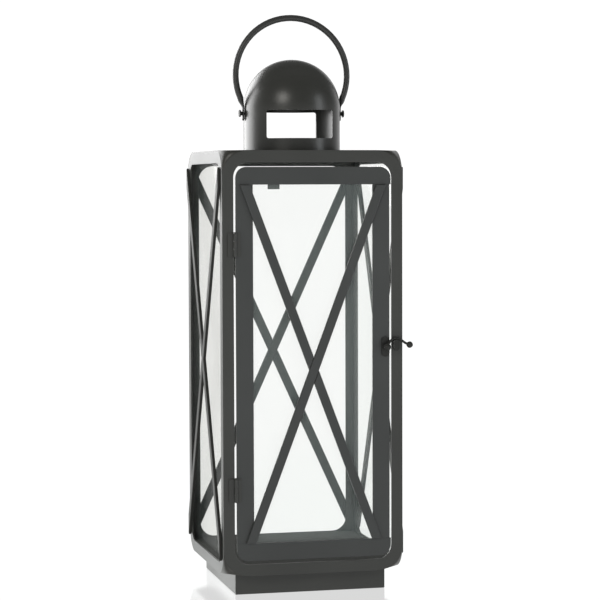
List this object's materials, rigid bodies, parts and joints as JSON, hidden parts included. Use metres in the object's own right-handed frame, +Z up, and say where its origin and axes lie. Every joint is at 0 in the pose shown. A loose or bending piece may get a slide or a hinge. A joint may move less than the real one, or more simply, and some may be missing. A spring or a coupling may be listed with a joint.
{
  "type": "candle lantern",
  "caption": "Tall square candle lantern with a hinged glazed door, crossed bars on every side, a domed vented chimney and a swinging bail handle.",
  "frame": {"origin": "centre of the plinth's underside, where the lantern stands", "axes": "+Z up, -Y towards the hinged door at the front, +X towards the latch side"},
  "size_m": [0.2138, 0.2165, 0.634],
  "materials": {
    "painted_steel": "satin dark grey powder coat",
    "dark_hardware": "satin dark grey, painted over",
    "clear_glass": "clear float glass"
  },
  "bodies": {
    "lantern_body": {"back_bar_falling": "painted_steel", "back_bar_rising": "painted_steel", "back_frame": "painted_steel", "back_glass": "clear_glass", "back_glass_tab_a": "dark_hardware", "back_glass_tab_b": "dark_hardware", "bail_rivet_left": "dark_hardware", "bail_rivet_right": "dark_hardware", "base_plinth": "painted_steel", "chimney_dome": "painted_steel", "chimney_tube": "painted_steel", "corner_web_back_left_bottom": "painted_steel", "corner_web_back_left_top": "painted_steel", "corner_web_back_right_bottom": "painted_steel", "corner_web_back_right_top": "painted_steel", "corner_web_front_left_bottom": "painted_steel", "corner_web_front_left_top": "painted_steel", "corner_web_front_right_bottom": "painted_steel", "corner_web_front_right_top": "painted_steel", "floor_plate": "painted_steel", "front_frame": "painted_steel", "latch_peg": "dark_hardware", "left_bar_falling": "painted_steel", "left_bar_rising": "painted_steel", "left_frame": "painted_steel", "left_glass": "clear_glass", "left_glass_tab_a": "dark_hardware", "left_glass_tab_b": "dark_hardware", "lower_hinge_frame_leaf": "dark_hardware", "lower_hinge_pin": "dark_hardware", "right_bar_falling": "painted_steel", "right_bar_rising": "painted_steel", "right_frame": "painted_steel", "right_glass": "clear_glass", "right_glass_tab_a": "dark_hardware", "right_glass_tab_b": "dark_hardware", "roof_plate": "painted_steel", "upper_hinge_frame_leaf": "dark_hardware", "upper_hinge_pin": "dark_hardware"},
    "door": {"door_bar_falling": "painted_steel", "door_bar_rising": "painted_steel", "door_bottom_rail": "painted_steel", "door_glass": "clear_glass", "door_glass_tab_hinge_side": "dark_hardware", "door_glass_tab_latch_side": "dark_hardware", "door_glass_tab_top": "dark_hardware", "door_hinge_stile": "painted_steel", "door_latch_stile": "painted_steel", "door_top_rail": "painted_steel", "latch_pivot": "dark_hardware", "latch_plate": "dark_hardware", "lower_hinge_door_leaf": "dark_hardware", "upper_hinge_door_leaf": "dark_hardware"},
    "latch": {"latch_lever": "dark_hardware"},
    "bail": {"bail_handle": "painted_steel"}
  },
  "joints": [
    {"name": "door_hinge", "type": "hinge", "parent": "lantern_body", "child": "door", "pos_m": [-0.0864, -0.1023, 0.2522], "axis": [0, 0, -1], "range_deg": [0, 150]},
    {"name": "latch_lift", "type": "hinge", "parent": "door", "child": "latch", "pos_m": [0.0805, -0.1, 0.2682], "axis": [0, -1, 0], "range_deg": [0, 90]},
    {"name": "bail_swing", "type": "hinge", "parent": "lantern_body", "child": "bail", "pos_m": [0, 0, 0.524], "axis": [1, 0, 0], "range_deg": [-110, 110]}
  ]
}
